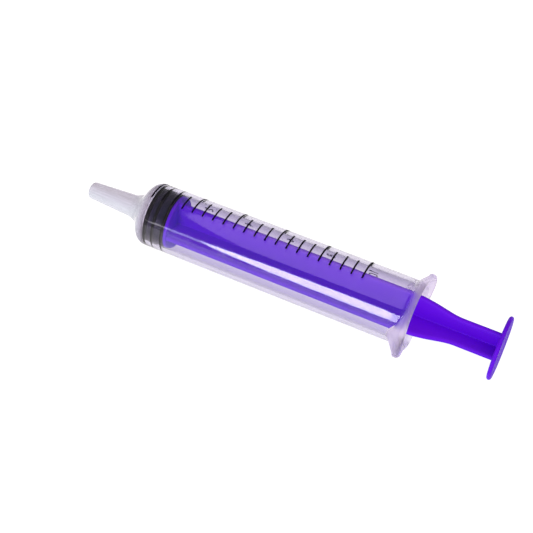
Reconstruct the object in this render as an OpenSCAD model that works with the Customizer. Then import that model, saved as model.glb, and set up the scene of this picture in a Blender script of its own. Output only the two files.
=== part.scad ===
// Oral syringe, 10 ml: clear moulded barrel with a printed scale, black rubber
// stopper, and a cross-ribbed purple plunger rod that snaps into the stopper.
// All sizes in mm. +X runs from the nozzle's mouth along the barrel to the thumb
// disc, the origin is at the middle of that mouth, and the wings of the finger
// flange reach out along -Y and +Y.

/* [Barrel] */
// outside diameter of the tube
barrel_d = 16.8; // [16:0.1:17.6]
// wall thickness of the tube
wall = 1; // [0.8:0.05:1.1]
// length of one 0.5 ml step of the scale
scale_step = 2.907; // [2.8:0.001:3]
// distance from the nozzle's mouth to the scale's zero line
scale_zero_x = 19.7; // [19.4:0.1:21]
// distance from the last scale line to the rear face of the flange
flange_past_scale = 15.1; // [13.5:0.1:18]

/* [Nozzle] */
// diameter near the mouth
nozzle_tip_d = 4.5; // [4.2:0.1:5]
// diameter at its root
nozzle_root_d = 5.9; // [5.2:0.1:6.2]
// diameter of the hole through it
nozzle_bore_d = 2.2; // [1.6:0.1:2.2]
// rounding of its mouth
nozzle_mouth_r = 0.9; // [0.4:0.1:0.9]
// radius of the cove where it runs out into the shoulder
shoulder_cove_r = 5; // [3:0.1:5]
// rounding of the shoulder into the tube
shoulder_round_r = 2.4; // [1:0.1:2.6]
// slope of the shoulder, measured from the axis
shoulder_slope = 64; // [55:1:65]

/* [Flange] */
// overall width across the two wings
flange_w = 27; // [25:0.1:29]
// diameter of its round middle
flange_mid_d = 17.6; // [17.2:0.1:20]
// height across its two flats
flange_flat = 17.1; // [16.9:0.1:17.2]
// radius of the wing tips
flange_tip_r = 3.6; // [2:0.1:4.5]
// thickness at the rim
flange_rim_t = 1.8; // [1:0.1:2]
// how far its cove reaches along the tube
flange_cove_l = 3.2; // [3:0.1:5]
// height of the bead in the bore that holds the stopper in
bead_h = 0.3; // [0.2:0.05:0.3]

/* [Stopper] */
// distance from the scale's zero line to the front sealing rib
stopper_front_gap = 0.2; // [0.2:0.05:0.6]
// length from the front sealing rib's edge to the rear face
stopper_l = 5.65; // [5.5:0.05:6.5]
// gap between a sealing rib and the bore
stopper_fit = 0.05; // [0.02:0.01:0.09]
// depth of the grooves between the sealing ribs
stopper_groove = 0.5; // [0.3:0.05:0.8]

/* [Plunger rod] */
// diameter over the ribs inside the barrel
rod_rib_d = 13.6; // [12.6:0.1:13.8]
// diameter over the ribs behind the flange
rod_waist_d = 9.2; // [8:0.1:11]
// thickness of a rib
rod_rib_t = 1.3; // [1:0.1:1.8]
// turn of the ribs from the line of the wings
rod_turn = 5; // [0:1:45]
// thickness of the disc behind the stopper
rod_head_t = 0.9; // [0.7:0.1:1.4]
// length from that disc's front face to the thumb face
rod_l = 88.6; // [86:0.1:94]
// diameter of the thumb disc
thumb_d = 16.2; // [14:0.1:18]
// thickness of the thumb disc at its rim
thumb_t = 1.1; // [1:0.1:2]

/* [Scale] */
// thickness of the printed ink
ink_t = 0.03; // [0.02:0.01:0.06]
// width of a line
line_w = 0.45; // [0.25:0.01:0.5]
// angle from the top of the tube to where all lines start
line_start = -14; // [-30:1:20]
// angle that a short line covers
line_short = 37; // [25:1:45]
// angle that a long line covers
line_long = 70; // [50:1:72]
// height of a numeral along the tube
numeral_h = 2.4; // [1.8:0.1:2.6]

/* [Hidden] */
$fn = 96;
steps = 20;
steps_per_number = 4;
eps = 0.01;
r_out = barrel_d / 2;
r_bore = r_out - wall;
r_ink = r_out + ink_t;
flange_x = scale_zero_x + steps * scale_step + flange_past_scale;

nozzle_r = nozzle_root_d / 2;
cove_rise = shoulder_cove_r * (1 - cos(shoulder_slope));
round_rise = shoulder_round_r * (1 - cos(shoulder_slope));
slope_rise = r_out - nozzle_r - cove_rise - round_rise;
round_x = scale_zero_x - 0.2;
round_low = round_x - shoulder_round_r * sin(shoulder_slope);
cove_high = round_low - slope_rise / tan(shoulder_slope);
cove_x = cove_high - shoulder_cove_r * sin(shoulder_slope);
bore_front = scale_zero_x + 0.1;

flare_slope = 68;
flare_rise = flange_w / 2 - r_out;
flare_run = flange_cove_l - flare_rise / tan(flare_slope);
flare_r = flare_run / (sin(flare_slope) - (1 - cos(flare_slope)) / tan(flare_slope));
flare_x = flange_x - flange_rim_t - flange_cove_l;
tip_y = flange_w / 2 - flange_tip_r;
tip_turn = acos((flange_mid_d / 2 - flange_tip_r) / tip_y);
bead_x = flange_x - 3.2;

seal_r = r_bore - stopper_fit;
groove_r = seal_r - stopper_groove;
stopper_x = scale_zero_x + stopper_front_gap;
stopper_end = stopper_x + stopper_l;
button_r = 3.4;
neck_r = 2.1;
fit = 0.06;
rod_x = stopper_end + 0.1;
button_x = rod_x - 3.7;
button_end = rod_x - 1.35;
rod_end = rod_x + rod_l;
head_r = r_bore - 0.35;
rib_r = rod_rib_d / 2;
waist_r = rod_waist_d / 2;
narrow_x = flange_x - 1;
narrow_l = 11.8;
core_r = 1.1;

numeral_w = 0.6 * numeral_h;
stroke = 0.34;
numeral_gap = 0.5;
numeral_turn = line_start + line_long + 20;

// Points of an arc about c, from angle a to angle b.
function arc(c, r, a, b, n = 10) =
    [for (i = [0:n]) [c[0] + r * cos(a + (b - a) * i / n), c[1] + r * sin(a + (b - a) * i / n)]];

// Turns a profile of [distance along +X, radius] points about the X axis.
module turned(profile) {
    rotate([90, 0, 90])
        rotate_extrude()
            polygon([for (p = profile) [p[1], p[0]]]);
}

// A round bar along +X.
module bar(x, l, r) {
    translate([x, 0, 0])
        rotate([0, 90, 0])
            cylinder(h = l, r = r);
}

// ---------------------------------------------------------------- barrel
// Nozzle, shoulder and tube: the cove turns from the nozzle's line to the
// shoulder's slope, and the round turns from there to the tube's line.
module barrel_outside() {
    mouth = arc([nozzle_mouth_r, nozzle_tip_d / 2 - nozzle_mouth_r], nozzle_mouth_r, 180, 90, 8);
    cove = arc([cove_x, nozzle_r + shoulder_cove_r], shoulder_cove_r, -90, shoulder_slope - 90);
    round = arc([round_x, r_out - shoulder_round_r], shoulder_round_r, shoulder_slope + 90, 90);
    turned(concat([[0, 0]], mouth, cove, round, [[flange_x, r_out], [flange_x, 0]]));
}

// Outline of the finger flange seen along the axis: a round middle with a flat
// above and below, two wing tips, and straight sides that touch both.
module flange_outline() {
    intersection() {
        circle(r = flange_mid_d / 2);
        square([flange_w, flange_flat], center = true);
    }
    for (s = [-1, 1])
        translate([s * tip_y, 0])
            circle(r = flange_tip_r);
    for (s = [-1, 1])
        polygon([
            [0, 0],
            [s * flange_mid_d / 2 * cos(tip_turn), -flange_mid_d / 2 * sin(tip_turn)],
            [s * (tip_y + flange_tip_r * cos(tip_turn)), -flange_tip_r * sin(tip_turn)],
            [s * (tip_y + flange_tip_r * cos(tip_turn)), flange_tip_r * sin(tip_turn)],
            [s * flange_mid_d / 2 * cos(tip_turn), flange_mid_d / 2 * sin(tip_turn)]
        ]);
}

// The flange is a flared collar cut to that outline.
module flange() {
    cove = arc([flare_x, r_out + flare_r], flare_r, -90, flare_slope - 90);
    rim = [[flange_x - flange_rim_t, flange_w / 2], [flange_x - flange_rim_t, flange_w]];
    intersection() {
        turned(concat([[flare_x, 1]], cove, rim, [[flange_x, flange_w], [flange_x, 1]]));
        translate([flare_x - 1, 0, 0])
            rotate([90, 0, 90])
                linear_extrude(flange_cove_l + flange_rim_t + 2)
                    flange_outline();
    }
}

// Everything inside the barrel, from the nozzle's hole to the bead near the rear.
module barrel_inside() {
    bar(-1, scale_zero_x, nozzle_bore_d / 2);
    bead = arc([bead_x, r_bore + 1.2 - bead_h], 1.2, -90 - 41, -90 + 41, 8);
    turned(concat(
        [[bore_front - 3.1, 0], [bore_front - 3.1, nozzle_bore_d / 2], [bore_front - 2.4, 4.6]],
        [[bore_front, r_bore]],
        bead,
        [[flange_x - 0.5, r_bore], [flange_x + eps, r_bore + 0.45], [flange_x + 1, r_bore + 0.45]],
        [[flange_x + 1, 0]]
    ));
}

module barrel() {
    color("#e4e2ee", 0.45)
        difference() {
            union() {
                barrel_outside();
                flange();
            }
            barrel_inside();
        }
}

// ---------------------------------------------------------------- stopper
// Three sealing ribs with two grooves between them, and a pocket behind that the
// rod's button snaps into.
module stopper() {
    front = stopper_x;
    color("#1b1b24")
        difference() {
            turned([
                [front - 0.55, 0],
                [front - 0.55, 4.4],
                [front - 0.05, seal_r - 0.35],
                [front + 0.2, seal_r],
                [front + 1.1, seal_r],
                [front + 1.35, groove_r],
                [front + 1.95, groove_r],
                [front + 2.2, seal_r],
                [front + 2.8, seal_r],
                [front + 3.05, groove_r],
                [front + stopper_l - 1.2, groove_r],
                [front + stopper_l - 0.95, seal_r],
                [front + stopper_l - 0.1, seal_r],
                [front + stopper_l, seal_r - 0.12],
                [front + stopper_l, 0]
            ]);
            turned([
                [button_x - fit, 0],
                [button_x - fit, button_r - 0.5],
                [button_x + 0.6, button_r + fit],
                [button_end + fit, button_r + fit],
                [button_end + fit, neck_r + fit],
                [stopper_end + 1, neck_r + fit],
                [stopper_end + 1, 0]
            ]);
        }
}

// ---------------------------------------------------------------- plunger rod
// Half height of the ribs at x: wide inside the barrel, then drawn in behind the
// flange along a smooth step.
function smooth(t) = t <= 0 ? 0 : t >= 1 ? 1 : t * t * (3 - 2 * t);
function rib_h(x) = rib_r + (waist_r - rib_r) * smooth((x - narrow_x) / narrow_l);

module rib() {
    top = [for (i = [0:16]) let (x = narrow_x + narrow_l * i / 16) [x, rib_h(x)]];
    low = [for (i = [16:-1:0]) let (x = narrow_x + narrow_l * i / 16) [x, -rib_h(x)]];
    start = rod_x + rod_head_t / 2;
    end = rod_end - thumb_t / 2;
    rotate([90, 0, 0])
        linear_extrude(rod_rib_t, center = true)
            polygon(concat(
                [[start, -rib_r], [start, rib_r]],
                top,
                [[end, waist_r], [end, -waist_r]],
                low
            ));
}

// Thumb disc: full round rim, and a back that thickens towards the ribs.
module thumb_disc() {
    rim_r = thumb_t / 2;
    rim = arc([rod_end - rim_r, thumb_d / 2 - rim_r], rim_r, 180, 0, 12);
    turned(concat(
        [[rod_end - thumb_t - 0.9, 0], [rod_end - thumb_t - 0.9, waist_r - 0.6]],
        [[rod_end - thumb_t - 0.25, waist_r + 0.5]],
        rim,
        [[rod_end, 0]]
    ));
}

// Button, neck and head disc that carry the stopper.
module rod_head() {
    turned([
        [button_x, 0],
        [button_x, button_r - 0.7],
        [button_x + 0.75, button_r],
        [button_end, button_r],
        [button_end, neck_r],
        [rod_x, neck_r],
        [rod_x, head_r - 0.15],
        [rod_x + 0.15, head_r],
        [rod_x + rod_head_t - 0.25, head_r],
        [rod_x + rod_head_t, head_r - 0.25],
        [rod_x + rod_head_t, 0]
    ]);
}

module plunger_rod() {
    color("#5a1fd6") {
        rod_head();
        rotate([-rod_turn, 0, 0])
            rib();
        rotate([90 - rod_turn, 0, 0])
            rib();
        bar(rod_x + rod_head_t / 2, rod_l - rod_head_t, core_r);
        thumb_disc();
    }
}

// ---------------------------------------------------------------- scale
// One printed line round the tube, from line_start over the top towards +Y.
module scale_line(i, sweep) {
    translate([scale_zero_x + i * scale_step - line_w / 2, 0, 0])
        rotate([-line_start, 0, 0])
            rotate([0, 90, 0])
                rotate([0, 0, 180 - sweep])
                    rotate_extrude(angle = sweep)
                        translate([r_out, 0])
                            square([ink_t, line_w]);
}

module scale_lines_short() {
    color("#101018")
        for (i = [0:steps])
            if (i % steps_per_number != 0)
                scale_line(i, line_short);
}

module scale_lines_long() {
    color("#101018")
        for (i = [0:steps_per_number:steps])
            scale_line(i, line_long);
}

// Strokes of the numerals, drawn upright in a box numeral_w wide and numeral_h
// high whose lower left corner is at [0, 0].
module stroke_line(a, b) {
    d = b - a;
    translate(a)
        rotate(atan2(d[1], d[0]))
            translate([-stroke / 2, -stroke / 2])
                square([norm(d) + stroke, stroke]);
}

module stroke_arc(c, r, a, b) {
    n = 12;
    polygon(concat(arc(c, r + stroke / 2, a, b, n), arc(c, r - stroke / 2, b, a, n)));
}

module digit(d) {
    w = numeral_w - stroke;
    h = numeral_h - stroke;
    r = w / 2;
    translate([stroke / 2, stroke / 2]) {
        if (d == 0) {
            stroke_arc([r, r], r, 180, 360);
            stroke_arc([r, h - r], r, 0, 180);
            stroke_line([0, r], [0, h - r]);
            stroke_line([w, r], [w, h - r]);
        }
        if (d == 1) {
            stroke_line([r, 0], [r, h]);
            stroke_line([r, h], [r * 0.35, h * 0.78]);
        }
        if (d == 2) {
            stroke_arc([r, h - r], r, -30, 180);
            stroke_line([w * 0.95, h - r * 1.55], [0, 0]);
            stroke_line([0, 0], [w, 0]);
        }
        if (d == 4) {
            stroke_line([w * 0.75, 0], [w * 0.75, h]);
            stroke_line([w * 0.75, h], [0, h * 0.32]);
            stroke_line([0, h * 0.32], [w, h * 0.32]);
        }
        if (d == 6) {
            difference() {
                translate([r, r])
                    circle(r = r + stroke / 2, $fn = 40);
                translate([r, r])
                    circle(r = r - stroke / 2, $fn = 40);
            }
            stroke_arc([w * 1.05, r], w * 1.05, 105, 180);
        }
        if (d == 8)
            for (k = [[r, 0.27 * h, 0.27 * h], [r, 0.77 * h, 0.23 * h]])
                difference() {
                    translate([k[0], k[1]])
                        circle(r = k[2] + stroke / 2, $fn = 40);
                    translate([k[0], k[1]])
                        circle(r = k[2] - stroke / 2, $fn = 40);
                }
    }
}

// Lays flat strokes on the tube: their left edge at angle turn from the top, the
// foot of the numeral towards +X, its width running round the tube towards +Y.
module on_tube(x, turn, w) {
    mid = turn + w / 2 / r_out * 180 / PI;
    rotate([-mid, 0, 0])
        intersection() {
            translate([x + numeral_h / 2, -w / 2, r_out / 2])
                rotate([0, 0, 90])
                    linear_extrude(r_out)
                        children();
            difference() {
                bar(x - 6, 12, r_ink);
                bar(x - 7, 14, r_out);
            }
        }
}

module scale_numerals() {
    color("#101018") {
        for (i = [1:4])
            on_tube(scale_zero_x + i * steps_per_number * scale_step, numeral_turn, numeral_w)
                digit(2 * i);
        on_tube(scale_zero_x + steps * scale_step, numeral_turn, 2 * numeral_w + numeral_gap) {
            digit(1);
            translate([numeral_w + numeral_gap - 0.3, 0])
                digit(0);
        }
    }
}

// The unit beside the last number, drawn as an m and an l.
module scale_unit() {
    w = 2.6;
    h = numeral_h * 0.6;
    turn = numeral_turn + (2 * numeral_w + numeral_gap + 0.9) / r_out * 180 / PI;
    color("#101018")
        on_tube(scale_zero_x + steps * scale_step, turn, w)
            translate([stroke / 2, stroke / 2]) {
                stroke_line([0, 0], [0, h]);
                stroke_arc([0.4, h - 0.4], 0.4, 0, 180);
                stroke_line([0.8, 0], [0.8, h - 0.4]);
                stroke_arc([1.2, h - 0.4], 0.4, 0, 180);
                stroke_line([1.6, 0], [1.6, h - 0.4]);
                stroke_line([2.26, 0], [2.26, numeral_h - stroke]);
            }
}

barrel();
stopper();
plunger_rod();
scale_lines_short();
scale_lines_long();
scale_numerals();
scale_unit();
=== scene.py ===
from math import cos, radians, sin, tan

import bpy
import bmesh
import numpy as np
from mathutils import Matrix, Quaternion, Vector


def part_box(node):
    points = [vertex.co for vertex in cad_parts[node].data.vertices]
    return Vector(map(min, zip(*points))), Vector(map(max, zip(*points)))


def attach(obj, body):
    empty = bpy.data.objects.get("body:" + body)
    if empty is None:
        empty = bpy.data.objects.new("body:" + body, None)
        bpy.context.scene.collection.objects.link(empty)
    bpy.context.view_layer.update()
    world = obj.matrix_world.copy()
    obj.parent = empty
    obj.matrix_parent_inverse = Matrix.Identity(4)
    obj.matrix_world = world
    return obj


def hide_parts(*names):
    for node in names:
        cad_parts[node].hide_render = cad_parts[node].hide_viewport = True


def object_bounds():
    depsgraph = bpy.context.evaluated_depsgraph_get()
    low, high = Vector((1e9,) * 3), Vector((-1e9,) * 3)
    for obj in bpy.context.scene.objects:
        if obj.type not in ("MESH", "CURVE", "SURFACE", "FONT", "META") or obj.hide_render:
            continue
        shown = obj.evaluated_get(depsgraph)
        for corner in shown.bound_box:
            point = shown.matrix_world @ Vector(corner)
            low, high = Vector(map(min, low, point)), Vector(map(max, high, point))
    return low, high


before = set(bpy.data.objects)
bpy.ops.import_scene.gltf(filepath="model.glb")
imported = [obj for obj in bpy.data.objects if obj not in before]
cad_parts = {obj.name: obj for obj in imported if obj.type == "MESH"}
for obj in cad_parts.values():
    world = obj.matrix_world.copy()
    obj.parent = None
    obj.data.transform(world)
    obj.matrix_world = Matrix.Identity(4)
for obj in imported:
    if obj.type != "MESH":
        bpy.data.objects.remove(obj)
cad_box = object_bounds()
mm = 0.001


# ---------------------------------------------------------------- barrel
# One injection moulding in clear polypropylene: nozzle, shoulder, tube and finger
# flange. The tube's wall is thin and nearly clear; where the plastic is thick, at
# the nozzle, the shoulder and the flange, it turns milky.
#
# Sizes are in mm. The rear face, the wings' reach and the flats come from the frame.
barrel_hi = np.array(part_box("barrel")[1]) / mm
tube_r, bore_r = 8.4, 7.4
nozzle_tip_r, nozzle_root_r, nozzle_bore_r = 2.3, 2.9, 1.1
mouth_round, hole_round = 0.9, 0.15
shoulder_x, shoulder_slope = 19.6, radians(58)
cove_r, shoulder_round = 5.5, 2.6
rear_x = barrel_hi[0]
rim_t, short_flare, long_flare, sweep = 1.9, 1.2, 3.5, 0.5
flare_power, lengthen_power = 1.12, 1.5
wing_y, wing_tip_r, mid_r = barrel_hi[1], 3.6, 8.8
flat_z = barrel_hi[2]


def arc(cx, cr, r, start, end, n):
    """n points [x, radius] on a circle about (cx, cr), from angle start to angle end."""
    a = np.radians(np.linspace(start, end, n))
    return np.c_[cx + r * np.cos(a), cr + r * np.sin(a)]


def line(x0, r0, x1, r1, n):
    """n points on the straight line between two profile points, without its ends."""
    t = np.linspace(0, 1, n + 2)[1:-1, None]
    return np.array([[x0, r0]]) * (1 - t) + np.array([[x1, r1]]) * t


def turned(profile, n=160):
    """Grid [row, column, xyz]: each profile point [x, radius] goes round the X axis, so
    y = radius * cos(angle) and z = radius * sin(angle). The radius may vary by column."""
    a = np.linspace(0, 2 * np.pi, n, endpoint=False)
    x, r = profile[..., 0], profile[..., 1]
    if x.ndim == 1:
        x, r = x[:, None] + 0 * a, r[:, None] + 0 * a
    return np.stack([x, r * np.cos(a), r * np.sin(a)], axis=-1)


def skin(name, *grids, sharp=35.0):
    """One object from grids of points in mm. Columns always close into a ring. Rows that
    end in a point on the axis, or on the first row, close the surface by merging."""
    points, quads, base = [], [], 0
    for g in grids:
        rows, cols = g.shape[:2]
        i = np.arange(rows * cols).reshape(rows, cols)
        a, b = i[:-1], i[1:]
        quads.append(np.stack([a, b, np.roll(b, -1, 1), np.roll(a, -1, 1)], -1).reshape(-1, 4) + base)
        points.append(g.reshape(-1, 3))
        base += rows * cols
    mesh = bpy.data.meshes.new(name)
    mesh.from_pydata((np.concatenate(points) * mm).tolist(), [], np.concatenate(quads).tolist())
    welded = bmesh.new()
    welded.from_mesh(mesh)
    bmesh.ops.remove_doubles(welded, verts=welded.verts, dist=1e-7)
    bmesh.ops.recalc_face_normals(welded, faces=welded.faces)
    welded.to_mesh(mesh)
    welded.free()
    mesh.shade_smooth()
    mesh.set_sharp_from_angle(angle=radians(sharp))
    piece = bpy.data.objects.new(name, mesh)
    bpy.context.scene.collection.objects.link(piece)
    return piece


def wing_outline(a):
    """Distance from the axis to the flange's rim at angle a from a wing's middle. Near a
    wing it is the tip circle about c, c cos a + sqrt(tip_r^2 - (c sin a)^2); then the
    straight side that touches tip and middle, mid_r / cos(a - turn); then the round
    middle, mid_r, cut off by the two flats at flat_z / sin a."""
    a = np.abs(np.arctan2(np.sin(a), np.cos(a)))
    a = np.minimum(a, np.pi - a)
    c = wing_y - wing_tip_r
    turn = np.arccos((mid_r - wing_tip_r) / c)
    tip_end = np.arctan2(wing_tip_r * np.sin(turn), c + wing_tip_r * np.cos(turn))
    tip = c * np.cos(a) + np.sqrt(np.maximum(wing_tip_r**2 - (c * np.sin(a)) ** 2, 0))
    side = mid_r / np.cos(np.minimum(np.abs(a - turn), 1.4))
    rounded = np.where(a < tip_end, tip, np.where(a < turn, side, mid_r))
    return np.minimum(rounded, flat_z / np.maximum(np.sin(a), 1e-6))


columns = 288
rim_r = wing_outline(np.linspace(0, 2 * np.pi, columns, endpoint=False))

# Outside, from the mouth to the start of the flange's flare: the nozzle's taper, the
# cove, the sloping shoulder, its rounding, and the tube.
cove_rise = cove_r * (1 - cos(shoulder_slope))
round_rise = shoulder_round * (1 - cos(shoulder_slope))
round_low = shoulder_x - shoulder_round * sin(shoulder_slope)
cove_high = round_low - (tube_r - nozzle_root_r - cove_rise - round_rise) / tan(shoulder_slope)
cove_x = cove_high - cove_r * sin(shoulder_slope)
slope = np.degrees(shoulder_slope)
tube_end = rear_x - rim_t - 2 * long_flare
outside = np.concatenate([
    arc(hole_round, nozzle_bore_r + hole_round, hole_round, 270, 180, 4),
    arc(mouth_round, nozzle_tip_r - mouth_round, mouth_round, 180, 90, 12),
    line(mouth_round, nozzle_tip_r, cove_x, nozzle_root_r, 14),
    arc(cove_x, nozzle_root_r + cove_r, cove_r, -90, slope - 90, 18),
    arc(shoulder_x, tube_r - shoulder_round, shoulder_round, slope + 90, 90, 14),
    line(shoulder_x, tube_r, tube_end, tube_r, 36),
    [[tube_end, tube_r]],
])
front_part = turned(outside, columns)

# Flare: x runs evenly from its start to the rim while the radius rises as a power of
# the distance. It is short over the round middle and longer towards the wing tips. The
# rim is rounded at both corners, and the rear face falls evenly from the wing tips to
# the opening.
front_edge = np.minimum(0.5, 0.4 * (rim_r - tube_r))
rear_edge = np.minimum(1.0, 0.8 * (rim_r - tube_r))
reach = rim_r - front_edge - tube_r
wingward = reach / reach.max()
flare_l = short_flare + (long_flare - short_flare) * wingward ** lengthen_power
rise = np.concatenate([[-0.4, -0.04], np.linspace(0, 1, 22)])[:, None]
flare_rows = np.stack([
    rear_x - rim_t - flare_l * (1 - rise),
    tube_r + reach * np.maximum(rise, 0) ** flare_power,
], -1)
corner = np.radians(np.linspace(0, 90, 7))[:, None]
rim_front = np.stack([
    rear_x - rim_t + front_edge * (1 - np.cos(corner)),
    rim_r - front_edge * (1 - np.sin(corner)),
], -1)
set_back = sweep * (1 - wingward)
rim_rear = np.stack([
    rear_x - set_back - rear_edge * (1 - np.sin(corner)),
    rim_r - rear_edge * (1 - np.cos(corner)),
], -1)
inward = np.linspace(0, 1, 6)[1:, None]
lip_r, lip_x = bore_r + 0.75, rear_x - sweep
rear_rows = np.stack([
    (rear_x - set_back) * (1 - inward) + lip_x * inward,
    (rim_r - rear_edge) * (1 - inward) + lip_r * inward,
], -1)
flange_part = turned(np.concatenate([flare_rows, rim_front, rim_rear, rear_rows]), columns)

# Inside, from the rear lip past the bead that keeps the stopper in, along the bore, and
# down the funnel in the shoulder to the nozzle's hole.
bead_x, bead_r, bead_h = rear_x - 3.2, 1.2, 0.12
bore_front, funnel_front, hole_back = 20.6, 17.5, 16.3
inside = np.concatenate([
    arc(lip_x - 0.35, lip_r, 0.35, 0, -60, 5),
    line(lip_x - 0.55, bore_r + 0.35, lip_x - 1.0, bore_r, 2),
    [[lip_x - 1.2, bore_r]],
    arc(bead_x, bore_r + bead_r - bead_h, bead_r, -64, -116, 10),
    line(bead_x - 1, bore_r, bore_front, bore_r, 40),
    arc(bore_front - 0.4, bore_r - 0.4, 0.4, 90, 160, 6),
    line(bore_front - 0.9, bore_r - 0.7, funnel_front, 4.6, 5),
    arc(funnel_front - 0.1, 4.2, 0.5, 100, 170, 5),
    line(funnel_front - 0.6, 4.0, hole_back + 0.4, 1.7, 4),
    arc(hole_back, nozzle_bore_r + 0.4, 0.4, 0, -90, 5),
    line(hole_back, nozzle_bore_r, hole_round, nozzle_bore_r, 14),
    [[hole_round, nozzle_bore_r]],
])
bore_part = turned(inside, columns)
barrel = skin("barrel_moulding", np.concatenate([front_part, flange_part, bore_part]))


def linear(colour):
    """sRGB hex colour, such as "#5a1fd6", as linear RGBA: each channel from 0 to 1 is
    c / 12.92 where it is very dark, and ((c + 0.055) / 1.055)^2.4 elsewhere."""
    c = np.array([int(colour[i:i + 2], 16) for i in (1, 3, 5)]) / 255
    c = np.where(c <= 0.04045, c / 12.92, ((c + 0.055) / 1.055) ** 2.4)
    return (*c.tolist(), 1.0)


def material(name):
    """A new node material and its tree, with no node in it yet."""
    m = bpy.data.materials.new(name)
    m.use_nodes = True
    m.node_tree.nodes.clear()
    return m, m.node_tree


def add(tree, kind, inputs=(), links=(), **settings):
    """Adds a shader node with its settings, its socket values and what feeds its sockets."""
    n = tree.nodes.new("ShaderNode" + kind)
    for k, v in settings.items():
        setattr(n, k, v)
    for k, v in dict(inputs).items():
        n.inputs[k].default_value = v
    for k, v in dict(links).items():
        tree.links.new(v, n.inputs[k])
    return n


# Clear polypropylene, moulded against polished steel: glossy, greyer where the wall is
# seen aslant, with 0.45 mm flow lines that run back from the gate at the nozzle and
# 6 mm patches of softer polish. Shadow rays and diffuse rays pass straight through.
milky_from, milky_to = rear_x - 2.9, rear_x - 1.6
nozzle_milky_from, nozzle_milky_to = 19.9, 17.5
clear_pp, tree = material("clear_polypropylene")
place = add(tree, "TexCoord").outputs["Object"]
x_of = add(tree, "SeparateXYZ", links={"Vector": place}).outputs["X"]
flow_at = add(tree, "Mapping", {"Scale": (0.01, 1.0, 1.0)}, {"Vector": place})
flow = add(tree, "TexNoise", {"Scale": 2200.0, "Detail": 2.0}, {"Vector": flow_at.outputs["Vector"]})
ripple = add(tree, "TexNoise", {"Scale": 160.0, "Detail": 2.0}, {"Vector": place})
polish = add(tree, "MapRange", {"From Min": 0.35, "From Max": 0.65, "To Min": 0.03, "To Max": 0.08},
             {"Value": ripple.outputs["Fac"]})
across = add(tree, "VectorMath", {1: (0.0, 1.0, 1.0)}, {0: place}, operation="MULTIPLY")
r_of = add(tree, "VectorMath", {}, {0: across.outputs[0]}, operation="LENGTH").outputs["Value"]
# The flange is milky where it is far enough back or stands proud of the tube.
behind = add(tree, "MapRange", {"From Min": milky_from * mm, "From Max": milky_to * mm},
             {"Value": x_of})
proud = add(tree, "MapRange", {"From Min": tube_r * mm, "From Max": (tube_r + 0.5) * mm},
            {"Value": r_of})
at_flange = add(tree, "Math", {}, {0: behind.outputs[0], 1: proud.outputs[0]}, operation="MAXIMUM")
at_nozzle = add(tree, "MapRange", {"From Min": nozzle_milky_from * mm, "From Max": nozzle_milky_to * mm},
                {"Value": x_of})
haze_rear = add(tree, "Math", {1: 0.06}, {0: at_flange.outputs[0]}, operation="MULTIPLY")
streak = add(tree, "MapRange", {"From Min": 0.35, "From Max": 0.65, "To Min": 0.57, "To Max": 0.72},
             {"Value": flow.outputs["Fac"]})
haze_front = add(tree, "Math", {}, {0: at_nozzle.outputs[0], 1: streak.outputs[0]}, operation="MULTIPLY")
haze = add(tree, "Math", {}, {0: haze_rear.outputs[0], 1: haze_front.outputs[0]}, operation="MAXIMUM")
softer = add(tree, "Math", {1: 0.5}, {0: at_flange.outputs[0]}, operation="MULTIPLY")
blur = add(tree, "Math", {}, {0: softer.outputs[0], 1: polish.outputs[0]}, operation="ADD")
clear = add(tree, "Math", {0: 1.0}, {1: haze.outputs[0]}, operation="SUBTRACT")
slant = add(tree, "LayerWeight", {"Blend": 0.5})
wall = add(tree, "ValToRGB", {}, {"Fac": slant.outputs["Facing"]})
wall.color_ramp.elements[0].position, wall.color_ramp.elements[0].color = 0.2, linear("#e6e1f0")
wall.color_ramp.elements[1].position, wall.color_ramp.elements[1].color = 0.75, linear("#b0abbf")
with_flange = add(tree, "Mix", {"B": linear("#dbd3e6")},
                  {"Factor": at_flange.outputs[0], "A": wall.outputs["Color"]}, data_type="RGBA")
tint = add(tree, "Mix", {"B": linear("#cfd6d9")},
           {"Factor": at_nozzle.outputs[0], "A": with_flange.outputs[2]}, data_type="RGBA")
dent = add(tree, "Bump", {"Strength": 0.01, "Distance": 0.03 * mm}, {"Height": flow.outputs["Fac"]})
plastic = add(tree, "BsdfPrincipled", {"IOR": 1.49},
              {"Base Color": tint.outputs[2], "Roughness": blur.outputs[0],
               "Transmission Weight": clear.outputs["Value"], "Normal": dent.outputs["Normal"]})
ray = add(tree, "LightPath")
lamp_or_bounce = add(tree, "Math", {},
                     {0: ray.outputs["Is Shadow Ray"], 1: ray.outputs["Is Diffuse Ray"]},
                     operation="MAXIMUM")
let_through = add(tree, "BsdfTransparent", {"Color": linear("#fdf6fd")})
both = add(tree, "MixShader", {}, {0: lamp_or_bounce.outputs[0], 1: plastic.outputs[0],
                                   2: let_through.outputs[0]})
add(tree, "OutputMaterial", {}, {"Surface": both.outputs[0]})
barrel.data.materials.append(clear_pp)
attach(barrel, "barrel")
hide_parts("barrel")


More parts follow.
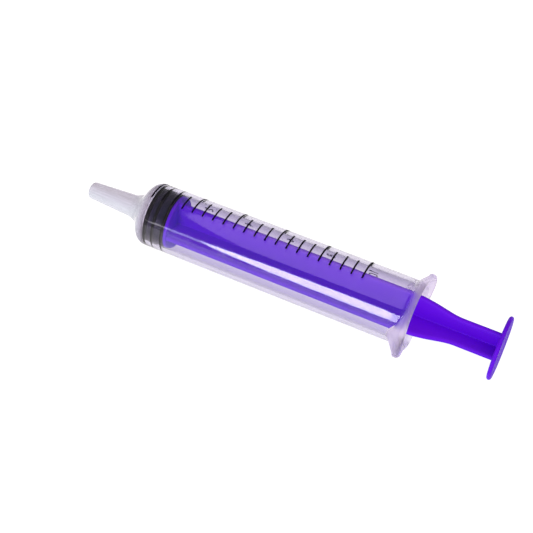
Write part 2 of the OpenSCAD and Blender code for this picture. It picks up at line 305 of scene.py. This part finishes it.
# ---------------------------------------------------------------- printed scale
# Black pad-printing ink on the outside of the tube: 21 lines, every fourth one long
# and numbered. It dries satin and a little uneven in thickness.
ink, tree = material("pad_print_ink")
place = add(tree, "TexCoord").outputs["Object"]
speckle = add(tree, "TexNoise", {"Scale": 2500.0, "Detail": 3.0}, {"Vector": place})
shade = add(tree, "ValToRGB", {}, {"Fac": speckle.outputs["Fac"]})
shade.color_ramp.elements[0].position, shade.color_ramp.elements[0].color = 0.3, linear("#030308")
shade.color_ramp.elements[1].position, shade.color_ramp.elements[1].color = 0.75, linear("#0c0c16")
film = add(tree, "BsdfPrincipled", {"Roughness": 0.6, "IOR": 1.5, "Specular IOR Level": 0.1},
           {"Base Color": shade.outputs["Color"]})
add(tree, "OutputMaterial", {}, {"Surface": film.outputs[0]})
for name in ("scale_lines_short", "scale_lines_long", "scale_numerals", "scale_unit"):
    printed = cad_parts[name]
    printed.data.materials.clear()
    printed.data.materials.append(ink)


# ---------------------------------------------------------------- stopper
# Moulded black rubber with three sealing ribs. The real one is wider than the bore,
# so its ribs press flat on the wall and the wet-looking contact shows as solid black.
stop_lo, stop_hi = (np.array(p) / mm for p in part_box("stopper"))
nose_l = 0.55
front, back = stop_lo[0] + nose_l, stop_hi[0]
press_r, groove_r = bore_r + 0.02, bore_r - 0.55
pocket_r, room_r = 2.16, 3.46


def rib(x0, x1, n=5):
    """A sealing rib from x0 to x1: flat on the bore, with its two edges rounded into
    the grooves beside it."""
    edge = 0.25
    return np.concatenate([
        arc(x0 + edge, press_r - edge, edge, 180, 90, n),
        arc(x1 - edge, press_r - edge, edge, 90, 0, n),
    ])


body_rows = np.concatenate([
    [[front - nose_l, 0.0], [front - nose_l, 2.0], [front - nose_l, 4.2]],
    arc(front - 0.35, 4.2, 0.2, 170, 110, 3),
    line(front - 0.45, 4.5, front - 0.05, groove_r, 4),
    rib(front, front + 0.9),
    [[front + 1.0, groove_r + 0.05], [front + 1.2, groove_r]],
    [[front + 1.95, groove_r], [front + 2.15, groove_r + 0.05]],
    rib(front + 2.2, front + 2.95),
    [[front + 3.05, groove_r + 0.05], [front + 3.3, groove_r]],
    [[back - 1.05, groove_r], [back - 0.85, groove_r + 0.05]],
    rib(back - 0.8, back),
    line(back, press_r - 0.3, back, 2.5, 6),
    # the pocket for the rod's button: a narrow neck, then a wider room with a blunt end
    [[back, pocket_r], [back - 1.3, pocket_r], [back - 1.3, room_r], [back - 3.1, room_r]],
    [[back - 3.66, 2.9], [back - 3.66, 0.0]],
])
stopper = skin("stopper_rubber", turned(body_rows, 192), sharp=50)

# Black rubber with carbon filler, moulded against matt steel: a grain of 0.25 mm,
# 4.5 mm clouds, a blue cast in the grooves and solid black where it presses on the wall.
rubber, tree = material("black_rubber")
place = add(tree, "TexCoord").outputs["Object"]
grain = add(tree, "TexNoise", {"Scale": 4000.0, "Detail": 3.0}, {"Vector": place})
patch = add(tree, "TexNoise", {"Scale": 220.0, "Detail": 3.0}, {"Vector": place})
shade = add(tree, "ValToRGB", {}, {"Fac": patch.outputs["Fac"]})
shade.color_ramp.elements[0].position, shade.color_ramp.elements[0].color = 0.35, linear("#0b0c2a")
shade.color_ramp.elements[1].position, shade.color_ramp.elements[1].color = 0.7, linear("#1a142e")
matt = add(tree, "MapRange", {"From Min": 0.35, "From Max": 0.65, "To Min": 0.32, "To Max": 0.45},
           {"Value": patch.outputs["Fac"]})
dent = add(tree, "Bump", {"Strength": 0.2, "Distance": 0.02 * mm}, {"Height": grain.outputs["Fac"]})
across = add(tree, "VectorMath", {1: (0.0, 1.0, 1.0)}, {0: place}, operation="MULTIPLY")
r_of = add(tree, "VectorMath", {}, {0: across.outputs[0]}, operation="LENGTH").outputs["Value"]
pressed = add(tree, "MapRange", {"From Min": (groove_r + 0.1) * mm, "From Max": (press_r - 0.1) * mm},
              {"Value": r_of})
wet = add(tree, "Mix", {"B": linear("#020206")},
          {"Factor": pressed.outputs[0], "A": shade.outputs["Color"]}, data_type="RGBA")
surface = add(tree, "BsdfPrincipled", {"IOR": 1.52, "Specular IOR Level": 0.15},
              {"Base Color": wet.outputs[2], "Roughness": matt.outputs[0],
               "Normal": dent.outputs["Normal"]})
add(tree, "OutputMaterial", {}, {"Surface": surface.outputs[0]})
stopper.data.materials.append(rubber)
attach(stopper, "stopper")
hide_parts("stopper")


# ---------------------------------------------------------------- plunger rod
# One moulding in purple polypropylene. Four ribs in a cross run the whole way; they
# are as high as the bore allows inside the barrel and drop to a slim waist behind the
# flange. A button snaps into the stopper, and a disc takes the thumb.
head_x, thumb_x = back + 0.1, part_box("plunger_rod")[1][0] / mm
head_r, head_t = bore_r - 0.35, 0.9
rib_high, waist_high, half_t = 6.8, 4.6, 0.65
narrow_x, narrow_l = rear_x - 1, 11.8
turn = radians(5)
valley_r = 0.12


def cross(h):
    """Outline of the four-armed section for arms that reach h from the axis, as a ring
    of points: rounded arm ends, straight flanks and a fillet in each valley."""
    edge = 0.6
    a = np.radians(np.linspace(0, 90, 5))
    f = np.radians(np.linspace(0, 90, 8))
    end = np.stack([h - edge + edge * np.cos(a), half_t - edge + edge * np.sin(a)], -1)
    root = half_t + valley_r
    s = np.linspace(0, 1, 7)[1:-1, None]
    flank = np.array([h - edge, half_t]) * (1 - s) + np.array([root, half_t]) * s
    valley = np.stack([root - valley_r * np.sin(f), root - valley_r * np.cos(f)], -1)
    half = np.concatenate([[[h, 0]], end, flank, valley])
    quarter = np.concatenate([half, half[-9:0:-1, ::-1]])
    y, z = quarter.T
    return np.concatenate([np.c_[y, z], np.c_[-z, y], np.c_[-y, -z], np.c_[z, -y]])


def rib_height(x):
    """Height of the ribs at x: a smooth step, 3t^2 - 2t^3, from the bore to the waist."""
    t = np.clip((x - narrow_x) / narrow_l, 0, 1)
    return rib_high + (waist_high - rib_high) * t * t * (3 - 2 * t)


along = np.concatenate([
    np.linspace(head_x + head_t / 2, narrow_x, 40),
    np.linspace(narrow_x, narrow_x + narrow_l, 40)[1:],
    np.linspace(narrow_x + narrow_l, thumb_x - 0.6, 12)[1:],
])
sections = np.array([cross(h) for h in rib_height(along)])
y, z = sections[..., 0], sections[..., 1]
ribs = np.stack([
    along[:, None] + 0 * y,
    y * cos(turn) + z * sin(turn),
    z * cos(turn) - y * sin(turn),
], -1)
ribs = np.concatenate([ribs[:1] * [1, 0, 0], ribs, ribs[-1:] * [1, 0, 0]])
rod_ribs = skin("rod_ribs", ribs)

# The disc behind the stopper, with the neck and button that snap into it.
head_rows = np.concatenate([
    [[head_x - 3.7, 0.0], [head_x - 3.7, 2.5]],
    arc(head_x - 3.2, 2.9, 0.5, 170, 100, 5),
    [[head_x - 2.6, 3.4], [head_x - 1.5, 3.4]],
    arc(head_x - 1.45, 3.3, 0.1, 90, 0, 3),
    [[head_x - 1.35, 2.2], [head_x - 1.3, 2.1], [head_x, 2.1]],
    [[head_x, 3.0], [head_x, 5.0]],
    arc(head_x + 0.15, head_r - 0.15, 0.15, 180, 90, 4),
    arc(head_x + head_t - 0.3, head_r - 0.3, 0.3, 90, 0, 7),
    [[head_x + head_t, 5.0], [head_x + head_t, 2.5], [head_x + head_t, 0.0]],
])
rod_head = skin("rod_head", turned(head_rows, 160))

# The thumb disc: round-edged, with a slightly hollow face.
thumb_r, thumb_t = 8.1, 1.1
round_r = thumb_t / 2
thumb_rows = np.concatenate([
    [[thumb_x - thumb_t - 0.15, 0.0], [thumb_x - thumb_t - 0.15, 2.0]],
    [[thumb_x - thumb_t - 0.15, waist_high + 0.3]],
    line(thumb_x - thumb_t - 0.14, waist_high + 0.5, thumb_x - thumb_t, thumb_r - round_r, 6),
    arc(thumb_x - round_r, thumb_r - round_r, round_r, 180, 0, 18),
    line(thumb_x, thumb_r - round_r, thumb_x - 0.18, thumb_r - 1.6, 2),
    [[thumb_x - 0.25, 5.0], [thumb_x - 0.25, 2.0], [thumb_x - 0.25, 0.0]],
])
thumb_disc = skin("thumb_disc", turned(thumb_rows, 192))

# Purple polypropylene, moulded against fine-textured steel: satin, evenly coloured
# through, with slight flow marks.
purple, tree = material("purple_polypropylene")
place = add(tree, "TexCoord").outputs["Object"]
marks_at = add(tree, "Mapping", {"Scale": (0.25, 1.0, 1.0)}, {"Vector": place})
marks = add(tree, "TexNoise", {"Scale": 180.0, "Detail": 3.0}, {"Vector": marks_at.outputs["Vector"]})
shade = add(tree, "ValToRGB", {}, {"Fac": marks.outputs["Fac"]})
shade.color_ramp.elements[0].position, shade.color_ramp.elements[0].color = 0.3, linear("#5700cb")
shade.color_ramp.elements[1].position, shade.color_ramp.elements[1].color = 0.7, linear("#5f01d3")
grain = add(tree, "TexNoise", {"Scale": 5000.0, "Detail": 2.0}, {"Vector": place})
satin = add(tree, "MapRange", {"From Min": 0.3, "From Max": 0.7, "To Min": 0.5, "To Max": 0.6},
            {"Value": marks.outputs["Fac"]})
dent = add(tree, "Bump", {"Strength": 0.15, "Distance": 0.02 * mm}, {"Height": grain.outputs["Fac"]})
surface = add(tree, "BsdfPrincipled", {"IOR": 1.49, "Specular IOR Level": 0.12},
              {"Base Color": shade.outputs["Color"], "Roughness": satin.outputs[0],
               "Normal": dent.outputs["Normal"]})
add(tree, "OutputMaterial", {}, {"Surface": surface.outputs[0]})
for piece in (rod_ribs, rod_head, thumb_disc):
    piece.data.materials.append(purple)
    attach(piece, "plunger")
    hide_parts("plunger_rod")


# ---------------------------------------------------------------- set
# A white sheet to lie on, a wide soft light overhead and, low in front, the oval
# softbox that draws the bright stripe along the tube, with a small one beside it for
# the stripe's thin end. A fill hangs behind the thumb disc. The rest of the room is dim.
w, floor_z = 4.0, cad_box[0].z
sheet_mesh = bpy.data.meshes.new("floor")
sheet_corners = [(-w, -w, floor_z), (w, -w, floor_z), (w, w, floor_z), (-w, w, floor_z)]
sheet_mesh.from_pydata(sheet_corners, [], [(0, 1, 2, 3)])
floor = bpy.data.objects.new("floor", sheet_mesh)
bpy.context.scene.collection.objects.link(floor)
paper, tree = material("white_paper")
place = add(tree, "TexCoord").outputs["Object"]
fibre = add(tree, "TexNoise", {"Scale": 900.0}, {"Vector": place})
tone = add(tree, "MapRange", {"From Min": 0.3, "From Max": 0.7, "To Min": 0.95, "To Max": 1.0},
           {"Value": fibre.outputs["Fac"]})
sheet = add(tree, "BsdfPrincipled",
            {"Base Color": linear("#7c7c7c"), "Roughness": 0.9, "Specular IOR Level": 0.0,
             "Emission Color": linear("#ffffff")}, {"Emission Strength": tone.outputs[0]})
add(tree, "OutputMaterial", {}, {"Surface": sheet.outputs[0]})
floor.data.materials.append(paper)

world = bpy.data.worlds.new("studio")
bpy.context.scene.world = world
world.use_nodes = True
world.node_tree.nodes["Background"].inputs["Color"].default_value = linear("#ffffff")
world.node_tree.nodes["Background"].inputs["Strength"].default_value = 0.27


def softbox(name, shape, x, elevation, distance, width, height, radiance, colour="#ffffff"):
    """An area light aimed at the axis from the -Y side, this high above the horizon. Its
    power is radiance times pi times its area."""
    lamp = bpy.data.lights.new(name, "AREA")
    lamp.shape, lamp.size, lamp.size_y, lamp.color = shape, width, height, linear(colour)[:3]
    area = width * height * (np.pi / 4 if shape == "ELLIPSE" else 1)
    lamp.energy = radiance * np.pi * area
    box = bpy.data.objects.new(name, lamp)
    box.location = (x, -distance * cos(elevation), distance * sin(elevation))
    box.rotation_euler = (radians(90) - elevation, 0, 0)
    bpy.context.scene.collection.objects.link(box)


softbox("overhead", "RECTANGLE", 0.24, radians(90), 1.0, 1.15, 1.6, 1.27, "#ffdaee")
softbox("key", "ELLIPSE", -0.065, radians(15.5), 0.87, 0.38, 0.41, 12.0, "#f6f2ff")
softbox("tail", "ELLIPSE", -0.275, radians(17.5), 0.87, 0.15, 0.09, 3.2)

fill = bpy.data.lights.new("fill", "AREA")
fill.size, fill.energy, fill.color = 0.5, 3.2 * np.pi * 0.5**2, linear("#ffeaf2")[:3]
fill_box = bpy.data.objects.new("fill", fill)
fill_box.location = (0.85, 0.05, 0.8)
fill_box.rotation_euler = (0, radians(45), 0)
bpy.context.scene.collection.objects.link(fill_box)

# From in front and above, a little behind the flange, with a long lens.
lens = bpy.data.cameras.new("camera")
lens.sensor_width, lens.lens, lens.clip_start = 36, 76.42, 0.01
camera = bpy.data.objects.new("camera", lens)
camera.location = (0.12907, -0.17720, 0.21118)
camera.rotation_mode = "QUATERNION"
aim = Vector((0.05298, -0.00278, 0)) - camera.location
camera.rotation_quaternion = aim.to_track_quat("-Z", "Y") @ Quaternion((0, 0, 1), radians(3.39))
bpy.context.scene.collection.objects.link(camera)
bpy.context.scene.camera = camera
bpy.context.scene.view_settings.view_transform = "Standard"
